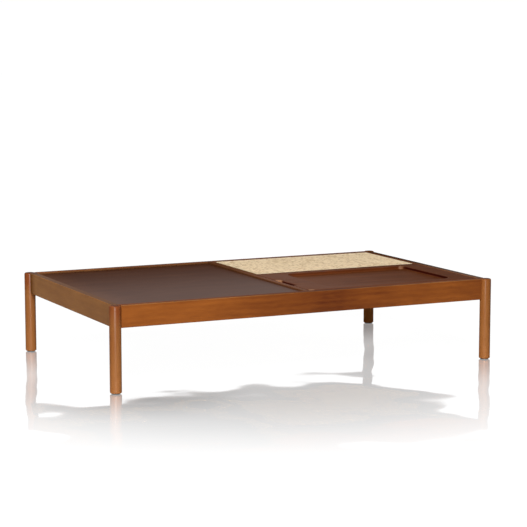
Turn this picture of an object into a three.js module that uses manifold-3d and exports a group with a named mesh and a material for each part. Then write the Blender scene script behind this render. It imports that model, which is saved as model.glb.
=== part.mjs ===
// A low rectangular coffee table on four round posts. The left half of its top is a sunk dark
// panel. The right half holds a woven cane panel behind and a lift-out tray in front.
// Millimetres, +Z up, origin on the floor under the middle of the table, +X along the long side.

import * as THREE from "three";
import { mergeVertices } from "three/addons/utils/BufferGeometryUtils.js";
import Module from "manifold-3d";

const wasm = await Module();
wasm.setup();

// Whole table
const tableHeight = 280;
const legSpacingX = 1362;
const legSpacingY = 822;
const fitGap = 0.3; // glue lines, housings and seats
const cutOverrun = 2;

// Round legs and their nail-on glides
const legDiameter = 38;
const legTopRounding = 5;
const legFootRounding = 3;
const glideHeight = 3;
const glideDiameter = 28;
const glideRounding = 1;
const glideNailDiameter = 3;
const glideNailLength = 16;

// Rails between the legs, with two tenons at each end
const railHeight = 72;
const railThickness = 25;
const railOutset = 4.75; // outer face beyond the leg axis
const railRounding = 2.5;
const tenonThickness = 9;
const tenonShoulder = 8; // above the upper tenon and below the lower one
const tenonSpacing = 4; // between the upper and lower tenon levels
const tenonPastAxis = 6;

// Divider between the left and right bays
const dividerWidth = 16;
const dividerHeight = 60;
const dividerOffset = 2; // to the right of the table's middle
const dividerRounding = 2.5;
const dividerTongueThickness = 8;
const dividerTongueLength = 10;
const dividerTongueShoulder = 8;

// Bearer under the seam between the cane panel and the tray
const bearerWidth = 40;
const bearerHeight = 30;
const bearerCentreY = 15;
const bearerTongueWidth = 26;
const bearerTongueShoulder = 7;
const bearerTongueLength = 6;

// Ledgers that carry the panels
const ledgerWidth = 18;
const ledgerHeight = 22;
const fingerRoom = 15; // between the finger notch and the ends of the ledgers beside it

// Sunk dark panel in the left bay
const wellDepth = 5.5;
const darkPanelThickness = 12;
const darkPanelGap = 1.5;

// Boards of the right bay, flush with the rails
const bayBoardThickness = 20;
const bayGap = 3;

// Lift-out tray
const trayRecessDepth = 10;
const trayRecessRadius = 32;
const trayBorderLeft = 94;
const trayBorderRight = 74;
const trayBorderFront = 41.5;
const trayBorderBack = 29.5;
const trayCornerRadius = 8;
const notchLength = 118;
const notchDepth = 16;
const notchCornerRadius = 6;
const notchOffset = -22; // from the middle of the tray's left edge, towards the front

// Cane panel: lippings, spline and woven sheet on a backing board
const lippingWidth = 8;
const splineWidth = 4;
const splineDepth = 4;
const caneThickness = 1.2;

// Countersunk wood screws
const screwDiameter = 3.5;
const screwHeadDiameter = 7;
const screwHeadHeight = 2.5;
const screwPointLength = 4;
const screwBite = 6.7; // into the wood behind a ledger
const screwPlaceShares = [0.15, 0.85]; // along each ledger

// Facets
const legSegments = 36;
const glideSegments = 24;
const screwSegments = 8;
const roundingSegments = 3;
const trayCornerSegments = 8;

// Levels and faces worked out from the sizes above
const legRadius = legDiameter / 2;
const copeRadius = legRadius + fitGap;
const halfLegX = legSpacingX / 2;
const halfLegY = legSpacingY / 2;
const railBottom = tableHeight - railHeight;
const bayHalfX = halfLegX + railOutset - railThickness;
const bayHalfY = halfLegY + railOutset - railThickness;
const dividerLeft = dividerOffset - dividerWidth / 2;
const dividerRight = dividerOffset + dividerWidth / 2;
const dividerBottom = tableHeight - dividerHeight;
const boardBottom = tableHeight - bayBoardThickness;
const bayLedgerTop = boardBottom - fitGap;
const panelTop = tableHeight - wellDepth;
const panelBottom = panelTop - darkPanelThickness;
const wellLedgerTop = panelBottom - fitGap;
const bearerFront = bearerCentreY - bearerWidth / 2;
const bearerBack = bearerCentreY + bearerWidth / 2;
const boardLeft = dividerRight + bayGap;
const boardRight = bayHalfX - bayGap;
const boardCentreX = (boardLeft + boardRight) / 2;
const trayFront = -bayHalfY + bayGap;
const trayBack = bearerCentreY - bayGap / 2;
const trayCentreY = (trayFront + trayBack) / 2;
const caneFront = bearerCentreY + bayGap / 2;
const caneBack = bayHalfY - bayGap;
const caneCentreY = (caneFront + caneBack) / 2;
const notchCentreY = trayCentreY + notchOffset;
const notchFront = notchCentreY - notchLength / 2;
const notchBack = notchCentreY + notchLength / 2;

const woods = {
  rail: { color: 0x9a5a2c, roughness: 0.35 },
  leg: { color: 0xa5643a, roughness: 0.3 },
  tray: { color: 0x5f3c2a, roughness: 0.4 },
  divider: { color: 0x75543c, roughness: 0.4 },
  panel: { color: 0x594540, roughness: 0.35 },
  ledger: { color: 0xb58a5c, roughness: 0.7 },
  plywood: { color: 0xc49c6c, roughness: 0.7 },
  cane: { color: 0xdbc4a0, roughness: 0.6 },
  spline: { color: 0xe4d0aa, roughness: 0.5 },
};

function wood(name) {
  return new THREE.MeshStandardMaterial({ ...woods[name], metalness: 0 });
}

function steel() {
  return new THREE.MeshStandardMaterial({ color: 0xb9b4a6, roughness: 0.35, metalness: 1 });
}

function nylon() {
  return new THREE.MeshStandardMaterial({ color: 0x2b2622, roughness: 0.6, metalness: 0 });
}

// Solids

function toSolid(geometry) {
  const bare = geometry.clone();
  bare.deleteAttribute("normal");
  bare.deleteAttribute("uv");
  const merged = mergeVertices(bare);
  const vertProperties = new Float32Array(merged.attributes.position.array);
  const triVerts = new Uint32Array(merged.index.array);
  return new wasm.Manifold(new wasm.Mesh({ numProp: 3, vertProperties, triVerts }));
}

function toGeometry(solid) {
  const mesh = solid.getMesh();
  const geometry = new THREE.BufferGeometry();
  geometry.setAttribute("position", new THREE.BufferAttribute(mesh.vertProperties, 3));
  geometry.setIndex(new THREE.BufferAttribute(mesh.triVerts, 1));
  geometry.computeVertexNormals();
  return geometry;
}

function join(base, extras) {
  return toGeometry(extras.reduce((sum, extra) => sum.add(toSolid(extra)), toSolid(base)));
}

function cut(base, tools) {
  return toGeometry(tools.reduce((rest, tool) => rest.subtract(toSolid(tool)), toSolid(base)));
}

// A box between two corners given in any order.
function block([x0, y0, z0], [x1, y1, z1]) {
  const box = new THREE.BoxGeometry(Math.abs(x1 - x0), Math.abs(y1 - y0), Math.abs(z1 - z0));
  return box.translate((x0 + x1) / 2, (y0 + y1) / 2, (z0 + z1) / 2);
}

function prism(shape, bottom, top, curveSegments) {
  const options = { depth: top - bottom, bevelEnabled: false, curveSegments };
  return new THREE.ExtrudeGeometry(shape, options).translate(0, 0, bottom);
}

// A solid of revolution about +Z from [radius, height] pairs.
function turned(profile, segments) {
  const points = profile.map(([radius, height]) => new THREE.Vector2(radius, height));
  return new THREE.LatheGeometry(points, segments).rotateX(Math.PI / 2);
}

// Points of an arc in a turned profile, about a centre and from one angle to another.
function roundedEdge(centreRadius, centreHeight, rounding, fromAngle, toAngle) {
  return Array.from({ length: roundingSegments + 1 }, (_, step) => {
    const angle = fromAngle + ((toAngle - fromAngle) * step) / roundingSegments;
    return [centreRadius + rounding * Math.cos(angle), centreHeight + rounding * Math.sin(angle)];
  });
}

function roundedRectangle(x0, y0, x1, y1, radius) {
  const shape = new THREE.Shape();
  shape.moveTo(x0 + radius, y0);
  shape.lineTo(x1 - radius, y0);
  shape.absarc(x1 - radius, y0 + radius, radius, -Math.PI / 2, 0);
  shape.lineTo(x1, y1 - radius);
  shape.absarc(x1 - radius, y1 - radius, radius, 0, Math.PI / 2);
  shape.lineTo(x0 + radius, y1);
  shape.absarc(x0 + radius, y1 - radius, radius, Math.PI / 2, Math.PI);
  shape.lineTo(x0, y0 + radius);
  shape.absarc(x0 + radius, y0 + radius, radius, Math.PI, 1.5 * Math.PI);
  return shape;
}

// A bar along +X with its section's corners rounded, between two opposite corners.
function roundedBar([x0, y0, z0], [x1, y1, z1], rounding) {
  const section = roundedRectangle(Math.min(y0, y1), z0, Math.max(y0, y1), z1, rounding);
  const lengthways = new THREE.Matrix4().set(0, 0, 1, 0, 1, 0, 0, 0, 0, 1, 0, 0, 0, 0, 0, 1);
  return prism(section, x0, x1, roundingSegments).applyMatrix4(lengthways);
}

// Four bars round a rectangle, mitred at its corners: front, right, back and left.
function mitredFrame(x0, y0, x1, y1, width, bottom, top) {
  const slack = fitGap / 2;
  return [0, 1, 2, 3].map((quarter) => {
    const isAlongX = quarter % 2 === 0;
    const halfLength = (isAlongX ? x1 - x0 : y1 - y0) / 2;
    const halfAcross = (isAlongX ? y1 - y0 : x1 - x0) / 2;
    const outline = new THREE.Shape([
      new THREE.Vector2(-halfLength + slack, -halfAcross),
      new THREE.Vector2(halfLength - slack, -halfAcross),
      new THREE.Vector2(halfLength - width - slack, -halfAcross + width),
      new THREE.Vector2(-halfLength + width + slack, -halfAcross + width),
    ]);
    const bar = prism(outline, bottom, top).rotateZ((quarter * Math.PI) / 2);
    return bar.translate((x0 + x1) / 2, (y0 + y1) / 2, 0);
  });
}

// The table's nodes

const table = new THREE.Group();

// A node's own origin is the point given; its geometry arrives in the table's frame.
function addPiece(name, geometry, material, [x, y, z]) {
  const mesh = new THREE.Mesh(geometry.clone().translate(-x, -y, -z), material);
  mesh.name = name;
  mesh.position.set(x, y, z);
  table.add(mesh);
}

const corners = [
  { name: "front_left", sideX: -1, sideY: -1 },
  { name: "front_right", sideX: 1, sideY: -1 },
  { name: "back_left", sideX: -1, sideY: 1 },
  { name: "back_right", sideX: 1, sideY: 1 },
];

// Tenon levels: the long rails' tenons are the upper ones, the short rails' the lower ones.
const tenonHeight = (railHeight - 2 * tenonShoulder - tenonSpacing) / 2;
const upperTenon = { top: tableHeight - tenonShoulder, bottom: tableHeight - tenonShoulder - tenonHeight };
const lowerTenon = { top: railBottom + tenonShoulder + tenonHeight, bottom: railBottom + tenonShoulder };
const railMiddle = railOutset - railThickness / 2; // beyond the leg axis, so it is negative

// The tenon of a long rail at one corner, grown by a clearance for its mortise.
function longRailTenon({ sideX, sideY }, grow) {
  const middleY = sideY * (halfLegY + railMiddle);
  const tip = sideX * (halfLegX + tenonPastAxis + grow);
  const root = sideX * (halfLegX - copeRadius - cutOverrun);
  return block(
    [tip, middleY - tenonThickness / 2 - grow, upperTenon.bottom - grow],
    [root, middleY + tenonThickness / 2 + grow, upperTenon.top + grow],
  );
}

function shortRailTenon({ sideX, sideY }, grow) {
  const middleX = sideX * (halfLegX + railMiddle);
  const tip = sideY * (halfLegY + tenonPastAxis + grow);
  const root = sideY * (halfLegY - copeRadius - cutOverrun);
  return block(
    [middleX - tenonThickness / 2 - grow, tip, lowerTenon.bottom - grow],
    [middleX + tenonThickness / 2 + grow, root, lowerTenon.top + grow],
  );
}

// Ledgers and their screws

const screwLength = ledgerWidth + fitGap + screwBite;

// A countersunk screw from its head's face at the point, driven along a direction. It is grown
// by a clearance for its hole, which is open at the head.
function screwAt({ point, along }, grow) {
  const shank = screwDiameter / 2 + grow;
  const head = screwHeadDiameter / 2 + grow;
  const mouth = grow > 0 ? cutOverrun : 0;
  const screw = turned([
    [0, -screwLength - grow],
    [shank, -screwLength + screwPointLength],
    [shank, -screwHeadHeight],
    [head, 0],
    ...(grow > 0 ? [[head, mouth]] : []),
    [0, mouth],
  ], screwSegments);
  const turn = new THREE.Quaternion().setFromUnitVectors(new THREE.Vector3(0, 0, -1), along);
  return screw.applyQuaternion(turn).translate(point.x, point.y, point.z);
}

// Each ledger lies along X or Y against a face, between two ends. Its top carries a board.
const ledgerEnd = bayHalfY - ledgerWidth - fitGap; // where a ledger along Y meets one along X
const wellEnds = { from: -bayHalfX, to: dividerLeft };
const boardEnds = { from: dividerRight, to: bayHalfX };
const ledgers = [
  { name: "well_ledger_front", alongX: true, ...wellEnds, face: -bayHalfY, inward: 1 },
  { name: "well_ledger_back", alongX: true, ...wellEnds, face: bayHalfY, inward: -1 },
  { name: "well_ledger_left", from: -ledgerEnd, to: ledgerEnd, face: -bayHalfX, inward: 1 },
  { name: "well_ledger_right", from: -ledgerEnd, to: ledgerEnd, face: dividerLeft, inward: -1 },
  { name: "tray_ledger_front", alongX: true, ...boardEnds, face: -bayHalfY, inward: 1 },
  { name: "tray_ledger_right", from: -ledgerEnd, to: bearerFront, face: bayHalfX, inward: -1 },
  {
    name: "tray_ledger_left_front",
    from: -ledgerEnd,
    to: notchFront - fingerRoom,
    face: dividerRight,
    inward: 1,
  },
  {
    name: "tray_ledger_left_back",
    from: notchBack + fingerRoom,
    to: bearerFront,
    face: dividerRight,
    inward: 1,
  },
  { name: "cane_ledger_back", alongX: true, ...boardEnds, face: bayHalfY, inward: -1 },
  { name: "cane_ledger_left", from: bearerBack, to: ledgerEnd, face: dividerRight, inward: 1 },
  { name: "cane_ledger_right", from: bearerBack, to: ledgerEnd, face: bayHalfX, inward: -1 },
];

const screws = [];
for (const { name, alongX = false, from, to, face, inward } of ledgers) {
  const start = from + fitGap;
  const end = to - fitGap;
  const near = face + inward * fitGap;
  const far = near + inward * ledgerWidth;
  const top = name.startsWith("well") ? wellLedgerTop : bayLedgerTop;
  const bottom = top - ledgerHeight;
  const spot = (along, across, height) =>
    alongX ? new THREE.Vector3(along, across, height) : new THREE.Vector3(across, along, height);
  const ownScrews = screwPlaceShares.map((share) => ({
    point: spot(start + share * (end - start), far, (top + bottom) / 2),
    along: spot(0, -inward, 0),
  }));
  screws.push(...ownScrews);
  const bar = block(spot(start, near, bottom).toArray(), spot(end, far, top).toArray());
  const holes = ownScrews.map((screw) => screwAt(screw, fitGap));
  const middle = spot((start + end) / 2, (near + far) / 2, bottom);
  addPiece(name, cut(bar, holes), wood("ledger"), middle.toArray());
}

screws.forEach((screw, index) => {
  const number = String(index + 1).padStart(2, "0");
  addPiece(`ledger_screw_${number}`, screwAt(screw, 0), steel(), screw.point.toArray());
});
const screwHoles = screws.map((screw) => screwAt(screw, fitGap));

// Joints of the divider and the bearer

function dividerTongue(sideY, grow) {
  const face = sideY * bayHalfY;
  return block(
    [
      dividerOffset - dividerTongueThickness / 2 - grow,
      face - sideY * dividerTongueLength,
      dividerBottom + dividerTongueShoulder - grow,
    ],
    [
      dividerOffset + dividerTongueThickness / 2 + grow,
      face + sideY * (dividerTongueLength + grow),
      tableHeight - dividerTongueShoulder + grow,
    ],
  );
}

function bearerTongue(face, outward, grow) {
  return block(
    [
      face - outward * bearerTongueLength,
      bearerCentreY - bearerTongueWidth / 2 - grow,
      bayLedgerTop - bearerHeight + bearerTongueShoulder - grow,
    ],
    [
      face + outward * (bearerTongueLength + grow),
      bearerCentreY + bearerTongueWidth / 2 + grow,
      bayLedgerTop - bearerTongueShoulder + grow,
    ],
  );
}

// Legs and glides

const footRadius = legRadius - legFootRounding;
const crownRadius = legRadius - legTopRounding;
const legProfile = [
  [0, glideHeight],
  ...roundedEdge(footRadius, glideHeight + legFootRounding, legFootRounding, -Math.PI / 2, 0),
  ...roundedEdge(crownRadius, tableHeight - legTopRounding, legTopRounding, 0, Math.PI / 2),
  [0, tableHeight],
];
const discTop = glideHeight - fitGap;
const nailRadius = glideNailDiameter / 2;
const glideRimRadius = glideDiameter / 2 - glideRounding;
const glideProfile = [
  [0, 0],
  ...roundedEdge(glideRimRadius, glideRounding, glideRounding, -Math.PI / 2, 0),
  [glideDiameter / 2, discTop],
  [nailRadius, discTop],
  [nailRadius, discTop + glideNailLength - nailRadius],
  [0, discTop + glideNailLength],
];
const nailHole = [
  [0, glideHeight - cutOverrun],
  [nailRadius + fitGap, glideHeight - cutOverrun],
  [nailRadius + fitGap, discTop + glideNailLength],
  [0, discTop + glideNailLength + fitGap],
];

for (const corner of corners) {
  const x = corner.sideX * halfLegX;
  const y = corner.sideY * halfLegY;
  const post = turned(legProfile, legSegments).translate(x, y, 0);
  const leg = cut(post, [
    longRailTenon(corner, fitGap),
    shortRailTenon(corner, fitGap),
    turned(nailHole, screwSegments).translate(x, y, 0),
  ]);
  addPiece(`leg_${corner.name}`, leg, wood("leg"), [x, y, 0]);
  const glide = turned(glideProfile, glideSegments).translate(x, y, 0);
  addPiece(`glide_${corner.name}`, glide, nylon(), [x, y, 0]);
}

// Rails: rounded bars coped round the legs and mitred behind them

const copeProfile = [
  [0, railBottom - cutOverrun],
  [copeRadius, railBottom - cutOverrun],
  [copeRadius, tableHeight + cutOverrun],
  [0, tableHeight + cutOverrun],
];

// A corner's inboard distances from the leg axis, turned into a point of the plan.
function planPoint({ sideX, sideY }, [inX, inY]) {
  return new THREE.Vector2(sideX * (halfLegX - inX), sideY * (halfLegY - inY));
}

// What is cut off a rail at a corner: the leg's round and the other rail's side of the mitre.
function endCuts(corner, isLongRail) {
  const round = turned(copeProfile, legSegments);
  const reach = railThickness + cutOverrun;
  const slack = fitGap / 2;
  const otherSide = [[slack, 0], [reach + slack, reach], [-cutOverrun, reach], [-cutOverrun, 0]];
  const local = isLongRail ? otherSide : otherSide.map(([inX, inY]) => [inY, inX]);
  const outline = local.map((point) => planPoint(corner, point));
  const mitre = prism(new THREE.Shape(outline), railBottom - cutOverrun, tableHeight + cutOverrun);
  return [round.translate(corner.sideX * halfLegX, corner.sideY * halfLegY, 0), mitre];
}

const longRails = [{ name: "front_rail", sideY: -1 }, { name: "back_rail", sideY: 1 }];
for (const { name, sideY } of longRails) {
  const ends = corners.filter((corner) => corner.sideY === sideY);
  const bar = roundedBar(
    [-halfLegX, sideY * bayHalfY, railBottom],
    [halfLegX, sideY * (bayHalfY + railThickness), tableHeight],
    railRounding,
  );
  const coped = cut(bar, ends.flatMap((corner) => endCuts(corner, true)));
  const tenoned = join(coped, ends.map((corner) => longRailTenon(corner, 0)));
  const housed = cut(tenoned, [dividerTongue(sideY, fitGap), ...screwHoles]);
  addPiece(name, housed, wood("rail"), [0, sideY * (halfLegY + railMiddle), railBottom]);
}

const shortRails = [{ name: "left_rail", sideX: -1 }, { name: "right_rail", sideX: 1 }];
for (const { name, sideX } of shortRails) {
  const ends = corners.filter((corner) => corner.sideX === sideX);
  const bar = roundedBar(
    [-halfLegY, -sideX * bayHalfX, railBottom],
    [halfLegY, -sideX * (bayHalfX + railThickness), tableHeight],
    railRounding,
  ).rotateZ(Math.PI / 2);
  const coped = cut(bar, ends.flatMap((corner) => endCuts(corner, false)));
  const tenoned = join(coped, ends.map((corner) => shortRailTenon(corner, 0)));
  const mortise = sideX > 0 ? [bearerTongue(bayHalfX, 1, fitGap)] : [];
  const housed = cut(tenoned, [...mortise, ...screwHoles]);
  addPiece(name, housed, wood("rail"), [sideX * (halfLegX + railMiddle), 0, railBottom]);
}

// Divider and bearer

const dividerEnd = bayHalfY - fitGap;
const dividerBar = roundedBar(
  [-dividerEnd, -dividerLeft, dividerBottom],
  [dividerEnd, -dividerRight, tableHeight],
  dividerRounding,
).rotateZ(Math.PI / 2);
const divider = cut(
  join(dividerBar, [dividerTongue(-1, 0), dividerTongue(1, 0)]),
  [bearerTongue(dividerRight, -1, fitGap), ...screwHoles],
);
addPiece("centre_divider", divider, wood("divider"), [dividerOffset, 0, dividerBottom]);

const bearerBlock = block(
  [dividerRight + fitGap, bearerFront, bayLedgerTop - bearerHeight],
  [bayHalfX - fitGap, bearerBack, bayLedgerTop],
);
const bearer = join(bearerBlock, [bearerTongue(dividerRight, -1, 0), bearerTongue(bayHalfX, 1, 0)]);
const bearerBottom = bayLedgerTop - bearerHeight;
addPiece("cross_bearer", bearer, wood("ledger"), [boardCentreX, bearerCentreY, bearerBottom]);

// Sunk dark panel

const darkPanel = block(
  [-bayHalfX + darkPanelGap, -bayHalfY + darkPanelGap, panelBottom],
  [dividerLeft - darkPanelGap, bayHalfY - darkPanelGap, panelTop],
);
const wellCentreX = (dividerLeft - bayHalfX) / 2;
addPiece("dark_panel", darkPanel, wood("panel"), [wellCentreX, 0, panelBottom]);

// Lift-out tray

const recessLeft = boardLeft + trayBorderLeft;
const recessRight = boardRight - trayBorderRight;
const recessFront = trayFront + trayBorderFront;
const recessBack = trayBack - trayBorderBack;

// The tray's outline, with a finger notch in its left edge.
function trayOutline() {
  const radius = trayCornerRadius;
  const shape = new THREE.Shape();
  shape.moveTo(boardLeft + radius, trayFront);
  shape.lineTo(boardRight - radius, trayFront);
  shape.absarc(boardRight - radius, trayFront + radius, radius, -Math.PI / 2, 0);
  shape.lineTo(boardRight, trayBack - radius);
  shape.absarc(boardRight - radius, trayBack - radius, radius, 0, Math.PI / 2);
  shape.lineTo(boardLeft + radius, trayBack);
  shape.absarc(boardLeft + radius, trayBack - radius, radius, Math.PI / 2, Math.PI);
  const notchCorner = notchCornerRadius;
  const cornerX = boardLeft + notchDepth - notchCorner;
  shape.lineTo(boardLeft, notchBack);
  shape.absarc(cornerX, notchBack - notchCorner, notchCorner, Math.PI / 2, 0, true);
  shape.lineTo(boardLeft + notchDepth, notchFront + notchCorner);
  shape.absarc(cornerX, notchFront + notchCorner, notchCorner, 0, -Math.PI / 2, true);
  shape.lineTo(boardLeft, notchFront);
  shape.lineTo(boardLeft, trayFront + radius);
  shape.absarc(boardLeft + radius, trayFront + radius, radius, Math.PI, 1.5 * Math.PI);
  return shape;
}

const trayBlank = prism(trayOutline(), boardBottom, tableHeight, trayCornerSegments);
const recess = prism(
  roundedRectangle(recessLeft, recessFront, recessRight, recessBack, trayRecessRadius),
  tableHeight - trayRecessDepth,
  tableHeight + cutOverrun,
  trayCornerSegments,
);
addPiece("tray_board", cut(trayBlank, [recess]), wood("tray"), [boardCentreX, trayCentreY, boardBottom]);

// Cane panel: the backing board has a rabbet for the spline all round

const backingLeft = boardLeft + lippingWidth + fitGap;
const backingRight = boardRight - lippingWidth - fitGap;
const backingFront = caneFront + lippingWidth + fitGap;
const backingBack = caneBack - lippingWidth - fitGap;
const backingTop = tableHeight - caneThickness - fitGap;
const rabbet = splineWidth + fitGap;
const rabbetFloor = tableHeight - splineDepth - fitGap;
const backing = join(
  block([backingLeft, backingFront, boardBottom], [backingRight, backingBack, rabbetFloor]),
  [block(
    [backingLeft + rabbet, backingFront + rabbet, boardBottom],
    [backingRight - rabbet, backingBack - rabbet, backingTop],
  )],
);
const caneCentre = [boardCentreX, caneCentreY, boardBottom];
addPiece("cane_backing_board", backing, wood("plywood"), caneCentre);

const webbing = block(
  [backingLeft + rabbet, backingFront + rabbet, tableHeight - caneThickness],
  [backingRight - rabbet, backingBack - rabbet, tableHeight],
);
addPiece("cane_webbing", webbing, wood("cane"), [boardCentreX, caneCentreY, tableHeight - caneThickness]);

const lippings = mitredFrame(
  boardLeft, caneFront, boardRight, caneBack, lippingWidth, boardBottom, tableHeight,
);
["front", "right", "back", "left"].forEach((side, index) => {
  addPiece(`cane_lipping_${side}`, lippings[index], wood("tray"), caneCentre);
});

const splineOutline = new THREE.Shape([
  new THREE.Vector2(backingLeft, backingFront),
  new THREE.Vector2(backingRight, backingFront),
  new THREE.Vector2(backingRight, backingBack),
  new THREE.Vector2(backingLeft, backingBack),
]);
splineOutline.holes.push(new THREE.Path([
  new THREE.Vector2(backingLeft + splineWidth, backingFront + splineWidth),
  new THREE.Vector2(backingLeft + splineWidth, backingBack - splineWidth),
  new THREE.Vector2(backingRight - splineWidth, backingBack - splineWidth),
  new THREE.Vector2(backingRight - splineWidth, backingFront + splineWidth),
]));
const spline = prism(splineOutline, tableHeight - splineDepth, tableHeight);
addPiece("cane_spline", spline, wood("spline"), caneCentre);

export default table;
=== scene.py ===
"""Looks of a low coffee table on round posts: a sunk dark panel at the left, a woven cane panel
and a lift-out tray at the right. Metres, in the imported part's own frame."""

import math
import random
from collections import namedtuple

import bmesh
import bpy
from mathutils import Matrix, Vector


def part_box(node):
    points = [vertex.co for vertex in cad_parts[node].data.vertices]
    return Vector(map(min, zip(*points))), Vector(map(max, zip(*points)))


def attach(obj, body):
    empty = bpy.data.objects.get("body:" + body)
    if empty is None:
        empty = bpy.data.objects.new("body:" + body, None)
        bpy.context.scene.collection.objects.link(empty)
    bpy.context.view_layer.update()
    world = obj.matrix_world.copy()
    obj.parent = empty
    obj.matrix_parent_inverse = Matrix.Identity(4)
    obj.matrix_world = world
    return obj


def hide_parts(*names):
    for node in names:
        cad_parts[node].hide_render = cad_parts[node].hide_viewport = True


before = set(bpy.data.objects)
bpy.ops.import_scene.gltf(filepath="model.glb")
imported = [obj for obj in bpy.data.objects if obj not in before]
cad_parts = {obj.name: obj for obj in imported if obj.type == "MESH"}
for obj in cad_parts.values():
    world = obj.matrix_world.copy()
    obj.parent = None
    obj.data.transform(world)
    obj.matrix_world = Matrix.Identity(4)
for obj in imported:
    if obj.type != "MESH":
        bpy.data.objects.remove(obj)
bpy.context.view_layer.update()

FRAME_BODY = "table_frame"
TRAY_BODY = "tray"

# Camera, solved from the photograph
CAMERA_PLACE = (-2.73364, -5.70707, 1.18171)
CAMERA_YAW = math.radians(25.8585)  # from +Y towards +X
CAMERA_PITCH = math.radians(7.7377)  # down
CAMERA_LENS = 125.655
CAMERA_SENSOR = 36.0
CAMERA_REACH = 200.0

# Posts, rails, divider and dark panel
LEG_TOP_ROUNDING = 0.005
LEG_FOOT_ROUNDING = 0.003
LEG_SIDES = 96
RAIL_ROUNDING = 0.0025
RAIL_COLUMNS = 24  # enough for the hollow ends round the posts
DIVIDER_ROUNDING = 0.0025
DIVIDER_COLUMNS = 4
PANEL_ROUNDING = 0.001
FIT_GAP = 0.0003
ROUNDING_STEPS = 6

# Edges of the meshes
SHARP_ANGLE = math.radians(32)
EASED_EDGE = 0.0006
EASED_STEPS = 2
EASED_ANGLE = math.radians(40)

# Tray
TRAY_EDGE_ROUNDING = 0.003
TRAY_FOOT_ROUNDING = 0.0018
RECESS_EDGE_ROUNDING = 0.0015
RECESS_COVE = 0.004
CORNER_STEPS = 12
SMALL_ROUNDING_STEPS = 4
COVE_STEPS = 10
TOUCH = 1e-5  # points closer together than this are at one place
PLACE_DIGITS = 5
LEAST_TURN = 0.5  # keeps the points at a sharp corner from moving out too far

# Woven cane and the reed round it
STRIP_PITCH = 0.0082
STRIP_WIDTH_SHARE = 0.9
STRIP_THICKNESS = 0.0005
STRIP_FLAT_SHARE = 0.45  # of half the width, over which a strip has its full thickness
STRIP_BEND_SHARES = (-0.3, 0.3)  # of a pitch, where a strip starts and ends its flat stretch
STRIP_TONE = (0.57, 0.71)
TONE_STRAY = 0.05  # up or down, at each crossing
EDGE_SHADE = 0.12
FLECK_SHARE = 0.42
FLECK_DEPTH = (0.12, 0.36)
FLECK_RUN = (1, 2)  # crossings
PLAIN_RUN = (1, 4)  # crossings
WEAVE_SEED = 7
REED_CROWN_SHARE = 0.5  # of half the reed's width
REED_STEPS = 10

# Lacquer over the wood
COAT_INDEX = 1.8
COAT_ROUGHNESS = 0.3
POST_COAT_ROUGHNESS = 0.32

# Grain of the wood, in waves per metre along the grain and twice across it
RING_PITCH = 0.014
RING_WEIGHT = 0.08
PITH_OFFSET = (0.0, 0.03, 0.022)
WANDER_WAVES = (1.6, 9.0, 9.0)
WANDER_REACH = 0.05
STREAK_WAVES = (5.0, 90.0, 90.0)
STREAK_WEIGHT = 0.4
PATCH_WAVES = (7.0, 22.0, 22.0)
PATCH_WEIGHT = 0.68
FRONT_RAIL_PATCH_WEIGHT = 0.56
PORE_WAVES = (40.0, 1100.0, 1100.0)
PORE_WEIGHT = 0.4
GRAIN_TURNS = {
    "X": (0.0, 0.0, 0.0),
    "Y": (0.0, 0.0, -math.pi / 2),
    "Z": (0.0, math.pi / 2, 0.0),
}

# Marks in the other materials, in waves per metre
MOTTLE_WAVES = (60.0, 60.0, 60.0)
MOTTLE_WEIGHT = 0.3
FIBRE_WAVES = (700.0, 700.0, 700.0)
FIBRE_WEIGHT = 0.15
SPECKLE_WAVES = (900.0, 900.0, 900.0)
SPANGLE_WAVES = (400.0, 400.0, 400.0)

# Roughness where a mark is weak and where it is strong
WOOD_ROUGHNESS = (0.6, 0.5)
CANE_ROUGHNESS = (0.6, 0.72)
NYLON_ROUGHNESS = (0.5, 0.65)
ZINC_ROUGHNESS = (0.28, 0.42)

# Tones and noise
MIDDLE_TONE = 0.5
TONE_STOPS = (0.0, MIDDLE_TONE, 1.0)
NOISE_MIDDLE = 0.5
NOISE_RANGE = (0.3, 0.7)  # where most of a noise lies
NUMBER_OPERATIONS = ("LENGTH", "DISTANCE", "DOT_PRODUCT")
WHITE = (1.0, 1.0, 1.0, 1.0)


# Colours, written as they look on the screen

def screen(red, green, blue):
    """A screen colour of 0 to 255 as the linear colour that a shader takes."""
    def linear(value):
        share = value / 255
        return share / 12.92 if share <= 0.04045 else ((share + 0.055) / 1.055) ** 2.4
    return (linear(red), linear(green), linear(blue), 1.0)


# Node trees

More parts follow.
